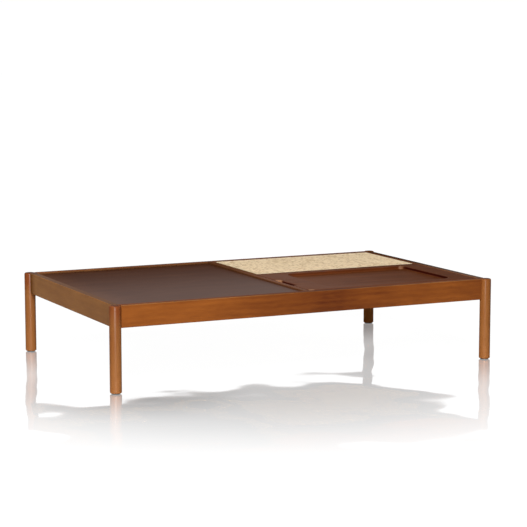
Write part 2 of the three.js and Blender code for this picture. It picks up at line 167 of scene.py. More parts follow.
class Tree:
    """A material's or world's nodes, added one after another."""

    def __init__(self, owner):
        owner.use_nodes = True
        self.tree = owner.node_tree
        self.tree.nodes.clear()

    def add(self, kind, inputs=(), **settings):
        """A new node. Each of its inputs is given as a value or as another node's output."""
        node = self.tree.nodes.new(kind)
        for key, value in settings.items():
            setattr(node, key, value)
        for socket, value in dict(inputs).items():
            if isinstance(value, bpy.types.NodeSocket):
                self.tree.links.new(value, node.inputs[socket])
            else:
                node.inputs[socket].default_value = value
        return node

    def coordinates(self):
        return self.add("ShaderNodeTexCoord").outputs["Object"]

    def part_of(self, vector, axis):
        return self.add("ShaderNodeSeparateXYZ", {0: vector}).outputs[axis]

    def math(self, operation, first, second=0.0):
        return self.add("ShaderNodeMath", {0: first, 1: second}, operation=operation).outputs[0]

    def vector(self, operation, first, second=(0.0, 0.0, 0.0)):
        """A vector, or a number where the operation is one of NUMBER_OPERATIONS."""
        node = self.add("ShaderNodeVectorMath", {0: first, 1: second}, operation=operation)
        return node.outputs["Value" if operation in NUMBER_OPERATIONS else "Vector"]

    def scaled(self, vector, factor):
        inputs = {0: vector, 3: factor}
        return self.add("ShaderNodeVectorMath", inputs, operation="SCALE").outputs[0]

    def noise(self, place, waves, detail=4.0, roughness=0.55):
        """Noise that is drawn out along the axes where waves, counted per metre, are few."""
        mapped = self.add("ShaderNodeMapping", {"Vector": place, "Scale": waves})
        inputs = {
            "Vector": mapped.outputs[0],
            "Scale": 1.0,
            "Detail": detail,
            "Roughness": roughness,
        }
        return self.add("ShaderNodeTexNoise", inputs).outputs[0]

    def layered(self, tone, layers):
        """A tone with layers of marks on it, each with its weight."""
        for layer, weight in layers:
            centred = self.math("SUBTRACT", layer, NOISE_MIDDLE)
            tone = self.math("ADD", tone, self.math("MULTIPLY", centred, weight))
        return tone

    def ramp(self, factor, stops):
        node = self.add("ShaderNodeValToRGB", {"Fac": factor})
        elements = node.color_ramp.elements
        while len(elements) < len(stops):
            elements.new(0.5)
        for element, (position, colour) in zip(elements, stops):
            element.position = position
            element.color = colour
        return node.outputs[0]

    def remap(self, value, from_low, from_high, to_low, to_high, smooth=False):
        inputs = {0: value, 1: from_low, 2: from_high, 3: to_low, 4: to_high}
        kind = "SMOOTHSTEP" if smooth else "LINEAR"
        return self.add("ShaderNodeMapRange", inputs, interpolation_type=kind).outputs[0]

    def bump(self, height, strength, distance):
        inputs = {"Strength": strength, "Distance": distance, "Height": height}
        return self.add("ShaderNodeBump", inputs).outputs[0]

    def principled(self, inputs):
        shader = self.add("ShaderNodeBsdfPrincipled", inputs)
        self.add("ShaderNodeOutputMaterial", {"Surface": shader.outputs[0]})

    def seen_rays(self):
        """1 for rays from the camera, a glossy surface or a clear one, and 0 for other rays."""
        path = self.add("ShaderNodeLightPath")
        seen = self.math("MAXIMUM", path.outputs["Is Camera Ray"], path.outputs["Is Glossy Ray"])
        return self.math("MAXIMUM", seen, path.outputs["Is Transmission Ray"])


# Materials

Stretch = namedtuple("Stretch", "middle half_length depth")
ThinCoat = namedtuple("ThinCoat", "axis start stop least")
PaintedHighlight = namedtuple("PaintedHighlight", "place reach strength")
HIGHLIGHT_FULL_SHARE = 0.5  # of a painted highlight's reach, over which it is at full strength


def grain_tone(tree, place, patch_weight):
    """Tone of the wood about 0.5. The rings lie round a pith along the grain, so that they are
    streaks on the sides of a piece and arcs at its ends. Returns the tone and its pores."""
    wander = tree.noise(place, WANDER_WAVES, detail=2.0)
    leaning = tree.vector("ADD", place, PITH_OFFSET)
    ring_place = tree.vector("ADD", leaning, tree.scaled(wander, WANDER_REACH))
    rings = tree.add(
        "ShaderNodeTexWave",
        {
            "Vector": ring_place,
            "Scale": 1.0 / (math.pi * RING_PITCH),
            "Distortion": 3.0,
            "Detail": 3.0,
            "Detail Scale": 0.6,
            "Detail Roughness": 0.6,
        },
        wave_type="RINGS", rings_direction="X", wave_profile="SIN",
    ).outputs["Fac"]
    streaks = tree.noise(place, STREAK_WAVES, roughness=0.6)
    patches = tree.noise(place, PATCH_WAVES, detail=3.0)
    pores = tree.noise(place, PORE_WAVES, detail=3.0)
    tone = tree.layered(MIDDLE_TONE, [
        (rings, RING_WEIGHT), (streaks, STREAK_WEIGHT),
        (patches, patch_weight), (pores, PORE_WEIGHT),
    ])
    return tone, pores


def stains_and_painted_light(tree, colour, facing):
    """The colour with stains, painted shade and painted highlights on the faces that look in some
    directions. Each is a direction, the shares of red, green and blue that such a face keeps, and
    how near to the direction a face has to look for it to begin and to be full."""
    normal = tree.add("ShaderNodeNewGeometry").outputs["Normal"]
    for direction, shares, nearness in facing:
        likeness = tree.vector("DOT_PRODUCT", normal, direction)
        amount = tree.remap(likeness, *nearness, 0.0, 1.0, smooth=True)
        change = tree.scaled(tuple(share - 1.0 for share in shares), amount)
        kept = tree.vector("ADD", change, (1.0, 1.0, 1.0))
        colour = tree.vector("MULTIPLY", colour, kept)
    return colour


def painted_highlights(tree, colour, coordinates, spots):
    """The colour with paler spots, painted highlights."""
    for spot in spots:
        away = tree.vector("DISTANCE", coordinates, spot.place)
        full = spot.reach * HIGHLIGHT_FULL_SHARE
        amount = tree.remap(away, full, spot.reach, spot.strength, 0.0, smooth=True)
        colour = tree.add(
            "ShaderNodeMix", {0: amount, 6: colour, 7: HIGHLIGHT_COLOUR}, data_type="RGBA"
        ).outputs[2]
    return colour


def wood(name, tones, grain, offset, patch_weight=PATCH_WEIGHT, coat=0.15, facing=(), fade=0.0,
         darker=None, thin_coat=None, highlight_spots=(), coat_roughness=COAT_ROUGHNESS):
    """Stained wood under thin satin lacquer. Its tones are dark, middle and pale, grain is the axis
    that the grain runs along, and offset is where in its log the piece was cut. The tone falls by
    fade over each metre along the grain. darker is a stretch of the length that is darker, or paler
    where its depth is negative; on some pieces it is darker wood, on others painted shade. facing
    holds stains, painted shade and painted highlights by the direction a face looks, and the spots
    are painted highlights. coat is the share of lacquer, which thin_coat lets fall to its least
    from start to stop."""
    material = bpy.data.materials.new(name)
    tree = Tree(material)
    coordinates = tree.coordinates()
    along_grain = tree.add(
        "ShaderNodeMapping", {"Vector": coordinates, "Rotation": GRAIN_TURNS[grain]}
    ).outputs[0]
    place = tree.add("ShaderNodeMapping", {"Vector": along_grain, "Location": offset}).outputs[0]
    tone, pores = grain_tone(tree, place, patch_weight)
    along = tree.part_of(along_grain, "X")
    if fade:
        tone = tree.math("SUBTRACT", tone, tree.math("MULTIPLY", along, fade))
    if darker:
        away = tree.math("ABSOLUTE", tree.math("SUBTRACT", along, darker.middle))
        dip = tree.remap(away, 0.0, darker.half_length, darker.depth, 0.0, smooth=True)
        tone = tree.math("SUBTRACT", tone, dip)
    colour = tree.ramp(tone, list(zip(TONE_STOPS, tones)))
    if facing:
        colour = stains_and_painted_light(tree, colour, facing)
    colour = painted_highlights(tree, colour, coordinates, highlight_spots)
    if thin_coat:
        across = tree.part_of(coordinates, thin_coat.axis)
        limits = (thin_coat.start, thin_coat.stop, coat, thin_coat.least)
        coat = tree.remap(across, *limits, smooth=True)
    tree.principled({
        "Base Color": colour,
        "Roughness": tree.remap(pores, *NOISE_RANGE, *WOOD_ROUGHNESS),
        "Specular IOR Level": 0.0,
        "Coat Weight": coat,
        "Coat Roughness": coat_roughness,
        "Coat IOR": COAT_INDEX,
        "Normal": tree.bump(pores, strength=0.12, distance=0.0004),
    })
    return material


def cane(name):
    """Natural cane strip: pale straw, each strip a little lighter or darker, with a fine speckle."""
    material = bpy.data.materials.new(name)
    tree = Tree(material)
    coordinates = tree.coordinates()
    strip_tone = tree.add("ShaderNodeAttribute", attribute_name="strip_tone").outputs["Fac"]
    mottle = tree.noise(coordinates, MOTTLE_WAVES, detail=3.0)
    fibres = tree.noise(coordinates, FIBRE_WAVES, detail=2.0)
    tone = tree.layered(strip_tone, [(mottle, MOTTLE_WEIGHT), (fibres, FIBRE_WEIGHT)])
    tree.principled({
        "Base Color": tree.ramp(tone, CANE_COLOURS),
        "Roughness": tree.remap(mottle, *NOISE_RANGE, *CANE_ROUGHNESS),
        "Specular IOR Level": 0.12,
        "Normal": tree.bump(fibres, strength=0.1, distance=0.0002),
    })
    return material


def nylon(name):
    """Dark brown nylon with a fine speckle, for the glides."""
    material = bpy.data.materials.new(name)
    tree = Tree(material)
    speckle = tree.noise(tree.coordinates(), SPECKLE_WAVES, detail=2.0)
    tree.principled({
        "Base Color": tree.ramp(speckle, list(zip(NOISE_RANGE, NYLON_TONES))),
        "Roughness": tree.remap(speckle, *NOISE_RANGE, *NYLON_ROUGHNESS),
    })
    return material


def zinc(name):
    """Zinc-plated steel, for the screws."""
    material = bpy.data.materials.new(name)
    tree = Tree(material)
    spangle = tree.noise(tree.coordinates(), SPANGLE_WAVES, detail=3.0)
    tree.principled({
        "Base Color": tree.ramp(spangle, list(zip(NOISE_RANGE, ZINC_TONES))),
        "Metallic": 1.0,
        "Roughness": tree.remap(spangle, *NOISE_RANGE, *ZINC_ROUGHNESS),
    })
    return material


# Meshes

def add_piece(name, vertices, faces, material, body, node):
    """A piece of the table in mesh code, which stands for a CAD node."""
    mesh = bpy.data.meshes.new(name)
    mesh.from_pydata([tuple(v) for v in vertices], [], faces)
    made = bmesh.new()
    made.from_mesh(mesh)
    bmesh.ops.recalc_face_normals(made, faces=made.faces)
    made.to_mesh(mesh)
    made.free()
    mesh.shade_smooth()
    mesh.set_sharp_from_angle(angle=SHARP_ANGLE)
    mesh.materials.append(material)
    piece = bpy.data.objects.new(name, mesh)
    bpy.context.scene.collection.objects.link(piece)
    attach(piece, body)
    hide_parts(node)
    return piece


def quarter(centre, radius, from_angle, to_angle, steps=ROUNDING_STEPS):
    """Points of an arc about a centre, with both of its ends."""
    angles = [from_angle + (to_angle - from_angle) * i / steps for i in range(steps + 1)]
    return [(centre[0] + radius * math.cos(a), centre[1] + radius * math.sin(a)) for a in angles]


def skin(loops, closed=False):
    """Vertices, and faces between loops of equal length. The first and last loop are capped, or
    joined to each other when closed."""
    count = len(loops[0])
    vertices = [point for loop in loops for point in loop]
    pairs = list(zip(range(len(loops)), range(1, len(loops))))
    if closed:
        pairs.append((len(loops) - 1, 0))
    faces = []
    for low, high in pairs:
        for i in range(count):
            j = (i + 1) % count
            faces.append((low * count + i, low * count + j, high * count + j, high * count + i))
    if not closed:
        faces.append(tuple(range(count))[::-1])
        faces.append(tuple(range((len(loops) - 1) * count, len(loops) * count)))
    return vertices, faces


def turned(profile, centre, sides):
    """A solid of revolution about a vertical axis from (radius, height) pairs, capped at its ends."""
    angles = [2 * math.pi * i / sides for i in range(sides)]
    return skin([
        [(centre[0] + radius * math.cos(a), centre[1] + radius * math.sin(a), height) for a in angles]
        for radius, height in profile
    ])


def leg(name, material):
    """A round post with its foot and its top edge rounded."""
    low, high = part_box(name)
    centre = (low + high) / 2
    radius = (high.x - low.x) / 2
    foot = quarter(
        (radius - LEG_FOOT_ROUNDING, low.z + LEG_FOOT_ROUNDING), LEG_FOOT_ROUNDING, -math.pi / 2, 0
    )
    crown = quarter(
        (radius - LEG_TOP_ROUNDING, high.z - LEG_TOP_ROUNDING), LEG_TOP_ROUNDING, 0, math.pi / 2
    )
    vertices, faces = turned(foot + crown, centre, LEG_SIDES)
    return add_piece(f"{name}_post", vertices, faces, material, FRAME_BODY, name)


def bar(columns, near_end, far_end, place):
    """A bar from columns of its section, each (across, bottom, top). Its two ends are functions of
    across, so they can be square, mitred or coped. place turns (along, across, height) into a point."""
    vertices = []
    for across, bottom, top in columns:
        for along in (near_end(across), far_end(across)):
            vertices.append(place(along, across, bottom))
            vertices.append(place(along, across, top))
    faces = []
    for i in range(len(columns) - 1):
        a, b = 4 * i, 4 * (i + 1)
        faces.append((a + 1, a + 3, b + 3, b + 1))
        faces.append((a, b, b + 2, a + 2))
        faces.append((a, a + 1, b + 1, b))
        faces.append((a + 2, b + 2, b + 3, a + 3))
    last = 4 * (len(columns) - 1)
    faces.append((0, 2, 3, 1))
    faces.append((last, last + 1, last + 3, last + 2))
    return vertices, faces


def rounded_columns(low, high, bottom, top, rounding, between):
    """Columns of a rectangular section with its four corners rounded."""
    columns = []
    for across, rise in quarter((low + rounding, 0.0), rounding, math.pi, math.pi / 2):
        columns.append((across, bottom + rounding - rise, top - rounding + rise))
    first, last = low + rounding, high - rounding
    for i in range(1, between):
        columns.append((first + (last - first) * i / between, bottom, top))
    for across, rise in quarter((high - rounding, 0.0), rounding, math.pi / 2, 0):
        columns.append((across, bottom + rounding - rise, top - rounding + rise))
    return columns


def rail(name, material, along_axis):
    """A rail coped round the posts at its ends, and mitred behind them."""
    low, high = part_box(name)
    leg_low, leg_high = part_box("leg_front_left")
    radius = (leg_high.x - leg_low.x) / 2
    axis = (leg_low + leg_high) / 2
    across_axis = 1 - along_axis
    side = 1 if (low[across_axis] + high[across_axis]) > 0 else -1
    half = abs(axis[along_axis])
    line = side * abs(axis[across_axis])
    reach = sorted((side * (low[across_axis] - line), side * (high[across_axis] - line)))
    cope = radius + FIT_GAP

    def end(across):
        round_part = math.sqrt(max(cope**2 - across**2, 0.0))
        return half - max(round_part, FIT_GAP / 2 - across)

    def place(along, across, height):
        point = Vector((0.0, 0.0, height))
        point[along_axis] = along
        point[across_axis] = line + side * across
        return point

    columns = rounded_columns(reach[0], reach[1], low.z, high.z, RAIL_ROUNDING, RAIL_COLUMNS)
    vertices, faces = bar(columns, lambda across: -end(across), end, place)
    return add_piece(f"{name}_board", vertices, faces, material, FRAME_BODY, name)


def divider(name, material):
    """The board between the two halves, square at its ends, from the front rail to the back rail."""
    low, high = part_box(name)
    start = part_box("front_rail")[1].y + FIT_GAP
    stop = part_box("back_rail")[0].y - FIT_GAP
    columns = rounded_columns(low.x, high.x, low.z, high.z, DIVIDER_ROUNDING, DIVIDER_COLUMNS)
    vertices, faces = bar(
        columns, lambda _: start, lambda _: stop, lambda along, across, z: (across, along, z)
    )
    return add_piece(f"{name}_board", vertices, faces, material, FRAME_BODY, name)


def rectangle(low, high, inset, height):
    """The outline of a box at a height, moved inwards by inset."""
    x0, y0, x1, y1 = low.x + inset, low.y + inset, high.x - inset, high.y - inset
    return [(x0, y0, height), (x1, y0, height), (x1, y1, height), (x0, y1, height)]


def panel(name, material):
    """A plain board with its edges rounded over."""
    low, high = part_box(name)
    rounding = PANEL_ROUNDING
    loops = []
    for inset, rise in quarter((rounding, rounding), rounding, -math.pi / 2, -math.pi):
        loops.append(rectangle(low, high, inset, low.z + rise))
    for inset, drop in quarter((rounding, rounding), rounding, -math.pi, -math.pi / 2):
        loops.append(rectangle(low, high, inset, high.z - drop))
    vertices, faces = skin(loops)
    return add_piece(f"{name}_board", vertices, faces, material, FRAME_BODY, name)


def spline(name, material):
    """The reed pressed into the groove round the weave, with a rounded top."""
    low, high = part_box(name)
    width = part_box("cane_webbing")[0].x - low.x - FIT_GAP
    half = width / 2
    shoulder = high.z - half * REED_CROWN_SHARE
    section = [(0.0, low.z), (width, low.z)]
    for across, rise in quarter((half, 0.0), half, 0, math.pi, REED_STEPS):
        section.append((across, shoulder + rise * REED_CROWN_SHARE))
    loops = [rectangle(low, high, across, height) for across, height in section]
    vertices, faces = skin(loops, closed=True)
    return add_piece(f"{name}_reed", vertices, faces, material, FRAME_BODY, name)


# The tray

Notch = namedtuple("Notch", "front back depth corner")
Recess = namedtuple("Recess", "left front right back corner floor")


def tray_outlines(low, high, corner, notch, recess):
    """The tray's outline and its recess's, as lists of equal length that run side by side, from
    the front right corner anticlockwise. The finger notch is in the left edge."""
    outer, inner = [], []

    def corner_pair(outer_centre, inner_centre, from_angle):
        to_angle = from_angle + math.pi / 2
        outer.extend(quarter(outer_centre, corner, from_angle, to_angle, CORNER_STEPS))
        inner.extend(quarter(inner_centre, recess.corner, from_angle, to_angle, CORNER_STEPS))

    x0, y0, x1, y1 = low.x + corner, low.y + corner, high.x - corner, high.y - corner
    r0, s0 = recess.left + recess.corner, recess.front + recess.corner
    r1, s1 = recess.right - recess.corner, recess.back - recess.corner
    corner_pair((x1, y0), (r1, s0), -math.pi / 2)
    corner_pair((x1, y1), (r1, s1), 0.0)
    corner_pair((x0, y1), (r0, s1), math.pi / 2)
    turn = notch.corner
    notch_x = low.x + notch.depth - turn
    path = [(low.x, notch.back)]
    path += quarter((notch_x, notch.back - turn), turn, math.pi / 2, 0.0, CORNER_STEPS)
    path += quarter((notch_x, notch.front + turn), turn, 0.0, -math.pi / 2, CORNER_STEPS)
    path.append((low.x, notch.front))
    outer.extend(path)
    inner.extend((recess.left, y) for _, y in path)
    corner_pair((x0, y0), (r0, s0), math.pi)
    return outer, inner


def moved(outline, distance):
    """A closed outline moved to its left by a distance, point by point."""
    count = len(outline)
    result = []
    for i in range(count):
        before, here, after = outline[i - 1], outline[i], outline[(i + 1) % count]
        first = Vector((here[0] - before[0], here[1] - before[1])).normalized()
        second = Vector((after[0] - here[0], after[1] - here[1])).normalized()
        normal = Vector((-(first.y + second.y), first.x + second.x)).normalized()
        stretch = 1.0 / max(normal.dot(Vector((-first.y, first.x))), LEAST_TURN)
        x = here[0] + normal.x * distance * stretch
        y = here[1] + normal.y * distance * stretch
        result.append((x, y))
    return result


def at_height(outline, height):
    return [(x, y, height) for x, y in outline]


def tray_sizes(name):
    """The tray's corner radius, its notch and its recess, measured on the CAD node."""
    low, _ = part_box(name)
    points = [vertex.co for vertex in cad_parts[name].data.vertices]
    floor = sorted({round(p.z, PLACE_DIGITS) for p in points})[1]
    inner = [p for p in points if abs(p.z - floor) < TOUCH]
    left, front = min(p.x for p in inner), min(p.y for p in inner)
    right, back = max(p.x for p in inner), max(p.y for p in inner)
    recess_corner = min(p.y for p in inner if p.x < left + TOUCH) - front
    recess = Recess(left, front, right, back, recess_corner, floor)
    left_edge = sorted({round(p.y, PLACE_DIGITS) for p in points if p.x < low.x + TOUCH})
    notch_front, notch_back = left_edge[1:3]
    inside = [p for p in points if p.x < left - TOUCH and notch_front < p.y < notch_back]
    depth = max(p.x for p in inside) - low.x
    notch_corner = min(p.y for p in inside if p.x > low.x + depth - TOUCH) - notch_front
    return left_edge[0] - low.y, Notch(notch_front, notch_back, depth, notch_corner), recess


def tray(name, material):
    """The tray board, with rounded edges and a recess that has a cove round its floor."""
    low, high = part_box(name)
    corner, notch, recess = tray_sizes(name)
    outer, inner = tray_outlines(low, high, corner, notch, recess)
    edge, foot, brim, cove = TRAY_EDGE_ROUNDING, TRAY_FOOT_ROUNDING, RECESS_EDGE_ROUNDING, RECESS_COVE
    side, flat = -math.pi, -math.pi / 2
    loops = []
    for inset, rise in quarter((foot, foot), foot, flat, side, SMALL_ROUNDING_STEPS):
        loops.append(at_height(moved(outer, inset), low.z + rise))
    for inset, drop in quarter((edge, edge), edge, side, flat):
        loops.append(at_height(moved(outer, inset), high.z - drop))
    for inset, drop in quarter((brim, brim), brim, flat, side, SMALL_ROUNDING_STEPS):
        loops.append(at_height(moved(inner, -inset), high.z - drop))
    for inset, rise in quarter((cove, cove), cove, side, flat, COVE_STEPS):
        loops.append(at_height(moved(inner, inset), recess.floor + rise))
    vertices, faces = skin(loops)
    return add_piece(f"{name}_wood", vertices, faces, material, TRAY_BODY, name)


# The weave

STRIP_SECTION = [
    (-1.0, 0.0), (-STRIP_FLAT_SHARE, 1.0), (STRIP_FLAT_SHARE, 1.0),
    (1.0, 0.0), (STRIP_FLAT_SHARE, -1.0), (-STRIP_FLAT_SHARE, -1.0),
]
STRIP_EDGES = [thick == 0.0 for _, thick in STRIP_SECTION]


def strip(centre_line, half_width, across, half_thickness):
    """A lens-shaped ribbon along a centre line of points. across is the direction of its width."""
    return skin([
        [
            point + across * (half_width * wide) + Vector((0.0, 0.0, half_thickness * thick))
            for wide, thick in STRIP_SECTION
        ]
        for point in centre_line
    ])


def lane_tones(chance, crossings):
    """A strip's tone at each crossing: its own tone, and brown flecks a crossing or two long."""
    own = chance.uniform(*STRIP_TONE)
    values, fleck, left = [], 0.0, 0
    for _ in range(crossings):
        if left == 0:
            fleck, left = 0.0, chance.randint(*PLAIN_RUN)
            if chance.random() < FLECK_SHARE:
                fleck, left = chance.uniform(*FLECK_DEPTH), chance.randint(*FLECK_RUN)
        values.append(own + chance.uniform(-TONE_STRAY, TONE_STRAY) - fleck)
        left -= 1
    return values


def lane_line(along, place_across, start, stop, pitch, heights):
    """A strip's centre line from edge to edge. At each crossing it is flat for a stretch, at the
    height that is given for it."""
    def point(place_along, height):
        made = Vector((0.0, 0.0, height))
        made[1 - along] = place_across
        made[along] = place_along
        return made

    line = [point(start, heights[0])]
    for crossing, height in enumerate(heights):
        for share in STRIP_BEND_SHARES:
            line.append(point(start + (crossing + 0.5 + share) * pitch, height))
    line.append(point(stop, heights[-1]))
    return line


def weave(name, material):
    """Flat cane strips in a plain weave: each goes over one crossing strip and under the next."""
    low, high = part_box(name)
    size = high - low
    counts = [round(size[axis] / STRIP_PITCH) for axis in (0, 1)]
    pitch = [size[axis] / counts[axis] for axis in (0, 1)]
    middle = (low.z + high.z) / 2
    swing = size.z / 2 - STRIP_THICKNESS / 2
    levels = (middle - swing, middle + swing)
    chance = random.Random(WEAVE_SEED)
    vertices, faces, values = [], [], []
    for along in (0, 1):
        across = 1 - along
        direction = Vector((0.0, 0.0, 0.0))
        direction[across] = 1.0
        half_width = pitch[across] * STRIP_WIDTH_SHARE / 2
        for lane in range(counts[across]):
            tones = lane_tones(chance, counts[along])
            heights = [levels[(lane + crossing + along) % 2] for crossing in range(counts[along])]
            place_across = low[across] + (lane + 0.5) * pitch[across]
            line = lane_line(along, place_across, low[along], high[along], pitch[along], heights)
            points, quads = strip(line, half_width, direction, STRIP_THICKNESS / 2)
            start = len(vertices)
            vertices += points
            faces += [tuple(start + i for i in face) for face in quads]
            line_tones = [tone for tone in tones for _ in STRIP_BEND_SHARES]
            for tone in (tones[0], *line_tones, tones[-1]):
                values += [tone - EDGE_SHADE if edge else tone for edge in STRIP_EDGES]
    piece = add_piece(f"{name}_strips", vertices, faces, material, FRAME_BODY, name)
    strip_tone = piece.data.attributes.new("strip_tone", "FLOAT", "POINT")
    strip_tone.data.foreach_set("value", values)
    return piece


# Colours of the materials: of wood its dark, middle and pale tone

CANE_COLOURS = [
    (0.0, screen(144, 110, 76)),
    (0.3, screen(203, 174, 133)),
    (0.6, screen(235, 211, 174)),
    (0.9, screen(246, 229, 199)),
]
NYLON_TONES = (screen(38, 33, 30), screen(52, 46, 42))
ZINC_TONES = (screen(176, 170, 150), screen(208, 204, 190))
RAIL_TONES = (screen(78, 32, 6), screen(122, 65, 21), screen(154, 88, 33))
LEFT_RAIL_TONES = (screen(103, 62, 22), screen(132, 84, 35), screen(156, 106, 52))
LEG_TONES = (screen(116, 58, 22), screen(129, 79, 37), screen(147, 96, 53))
TRAY_TONES = (screen(70, 34, 14), screen(94, 50, 23), screen(110, 62, 32))
PANEL_TONES = (screen(56, 27, 12), screen(69, 36, 18), screen(83, 48, 27))
DIVIDER_TONES = (screen(78, 42, 18), screen(96, 54, 26), screen(114, 66, 34))
LIPPING_TONES = (screen(86, 50, 24), screen(108, 68, 36), screen(126, 82, 46))
PLAIN_TONES = (screen(150, 112, 70), screen(186, 146, 98), screen(208, 172, 124))
REED_TONES = (screen(216, 192, 150), screen(240, 222, 186), screen(248, 234, 206))

# The colour of the painted highlights on the tray
HIGHLIGHT_COLOUR = screen(176, 128, 90)

# Each post's lacquer, and how much darker and redder its upper end is
POSTS = {
    "front_left": (0.12, 0.5), "front_right": (0.075, 0.15),
    "back_left": (0.12, 0.9), "back_right": (0.0, 0.0),
}
POST_TOP = 0.28
POST_RED_LENGTH = 0.08
POST_LOG_STEP = 0.3  # along the log, from one post to the next

# Directions, and how near to one a face has to look for a stain or painted light to begin and to be
# full
UP, FRONT, LEFT, RIGHT = (0.0, 0.0, 1.0), (0.0, -1.0, 0.0), (-1.0, 0.0, 0.0), (1.0, 0.0, 0.0)
FRONT_AND_UP = (0.0, -0.7071, 0.7071)
TOP_ONLY, FLAT_ONLY, ROUNDING_TOO = (0.92, 0.995), (0.6, 0.97), (0.05, 0.5)
WALL_AND_COVE = (0.3, 0.88)
# Where the painted highlight on the front rail's upper edge lies
EDGE_HIGHLIGHT_NEARNESS = (0.8, 0.97)

# Colour by facing: painted shade on tops, a painted highlight on the front rail's upper edge,
# a greyer divider side beside the panel, painted shade on the rails' inner faces, painted shade in
# the divider's seam, darker end grain, and painted shade on the recess wall
# Painted shade: faces turned up are darker, as if little light fell on them from above
RAIL_TOP_SHADE = (UP, (0.5, 0.48, 0.7), TOP_ONLY)
FRONT_RAIL_TOP_SHADE = (UP, (0.64, 0.55, 0.5), TOP_ONLY)
RIGHT_RAIL_TOP_SHADE = (UP, (0.3, 0.42, 1.2), TOP_ONLY)
# Painted highlight along the front rail's rounded upper edge, where it turns from front to top
FRONT_RAIL_EDGE_HIGHLIGHT = (FRONT_AND_UP, (1.15, 1.7, 3.5), EDGE_HIGHLIGHT_NEARNESS)
# Painted shade: the inner faces of the back and right rails are darker and greyer, as if in shade
INNER_SHADE_SHARES = (0.5, 0.68, 1.5)
BACK_RAIL_INSIDE_SHADE = (FRONT, INNER_SHADE_SHARES, FLAT_ONLY)
RIGHT_RAIL_INSIDE_SHADE = (LEFT, INNER_SHADE_SHARES, FLAT_ONLY)
DIVIDER_SIDE = (LEFT, (0.95, 1.05, 1.3), FLAT_ONLY)
# Painted shade: the divider's right side and its rounding are dark, like the shadow in the seam to the
# tray
DIVIDER_SEAM_SHADE = (RIGHT, (0.3, 0.14, 0.07), ROUNDING_TOO)
END_GRAIN_SHARES = (0.42, 0.12, 0.03)
LEFT_END_GRAIN = (LEFT, END_GRAIN_SHARES, FLAT_ONLY)
RIGHT_END_GRAIN = (RIGHT, END_GRAIN_SHARES, FLAT_ONLY)
# Painted shade: faces turned to the front, mainly the recess's back wall and cove, are darker
RECESS_WALL_SHADE = (FRONT, (0.94, 0.78, 0.6), WALL_AND_COVE)

# Painted highlights on the tray: at the back end of its finger notch, and at two of its corners
HIGHLIGHT_PLACES = [
    PaintedHighlight((0.018, -0.145, 0.28), reach=0.018, strength=0.52),
    PaintedHighlight((0.022, -0.385, 0.28), reach=0.014, strength=0.45),
    PaintedHighlight((0.574, -0.018, 0.276), reach=0.014, strength=0.25),
]


# The pieces and what they are made of

def dress():
    for index, (corner, (coat, redness)) in enumerate(POSTS.items()):
        leg(f"leg_{corner}", wood(
            f"post_{corner}", LEG_TONES, "Z", (POST_LOG_STEP * index, 0.02, 0.01), coat=coat,
            facing=[RAIL_TOP_SHADE], darker=Stretch(POST_TOP, POST_RED_LENGTH, redness),
            coat_roughness=POST_COAT_ROUGHNESS
        ))
    rail("front_rail", wood(
        "front_rail_wood", RAIL_TONES, "X", (0.4, 0.1, 0.0), coat=0.1,
        patch_weight=FRONT_RAIL_PATCH_WEIGHT, facing=[FRONT_RAIL_TOP_SHADE, FRONT_RAIL_EDGE_HIGHLIGHT], fade=0.14,
        darker=Stretch(middle=0.05, half_length=0.42, depth=0.3)
    ), 0)
    rail("back_rail", wood(
        "back_rail_wood", RAIL_TONES, "X", (1.7, 0.4, 0.0), coat=0.12,
        facing=[RAIL_TOP_SHADE, BACK_RAIL_INSIDE_SHADE],
        darker=Stretch(middle=-0.62, half_length=0.4, depth=-0.3)
    ), 0)
    rail("left_rail", wood(
        "left_rail_wood", LEFT_RAIL_TONES, "Y", (2.9, 0.2, 0.0), facing=[RAIL_TOP_SHADE], fade=-0.3,
        # Painted shadow: the left rail is much darker at its back end, beside the back left post
        darker=Stretch(middle=0.41, half_length=0.075, depth=0.9)
    ), 1)
    rail("right_rail", wood(
        "right_rail_wood", RAIL_TONES, "Y", (4.3, 0.3, 0.0), coat=0.14,
        facing=[RIGHT_RAIL_TOP_SHADE, RIGHT_RAIL_INSIDE_SHADE], fade=0.5,
        thin_coat=ThinCoat("Y", start=-0.35, stop=0.25, least=0.02)
    ), 1)
    divider("centre_divider", wood(
        "divider_board_wood", DIVIDER_TONES, "Y", (5.1, 0.0, 0.0), coat=0.14,
        # Painted shade: fade and the darker stretch make the divider darker towards the back, where
        # less sheen falls
        facing=[DIVIDER_SIDE, DIVIDER_SEAM_SHADE], fade=0.1,
        darker=Stretch(middle=0.27, half_length=0.27, depth=0.36),
        thin_coat=ThinCoat("Y", start=-0.2, stop=0.3, least=0.03)
    ))
    panel("dark_panel", wood(
        "dark_panel_wood", PANEL_TONES, "X", (0.9, 0.5, 0.0), coat=0.23,
        darker=Stretch(middle=-0.66, half_length=0.1, depth=-0.45),
        thin_coat=ThinCoat("Y", start=-0.4, stop=0.4, least=0.05)
    ))
    tray_wood = wood(
        "tray_board_wood", TRAY_TONES, "X", (2.2, 0.1, 0.0), coat=0.12,
        facing=[LEFT_END_GRAIN, RIGHT_END_GRAIN, RECESS_WALL_SHADE], fade=0.35,
        thin_coat=ThinCoat("X", start=0.05, stop=0.62, least=0.05), highlight_spots=HIGHLIGHT_PLACES
    )
    tray("tray_board", tray_wood)
    weave("cane_webbing", cane("cane_strip"))
    spline("cane_spline", wood("reed", REED_TONES, "X", (0.0, 0.0, 0.0), coat=0.1))
    finish_nodes(tray_wood)


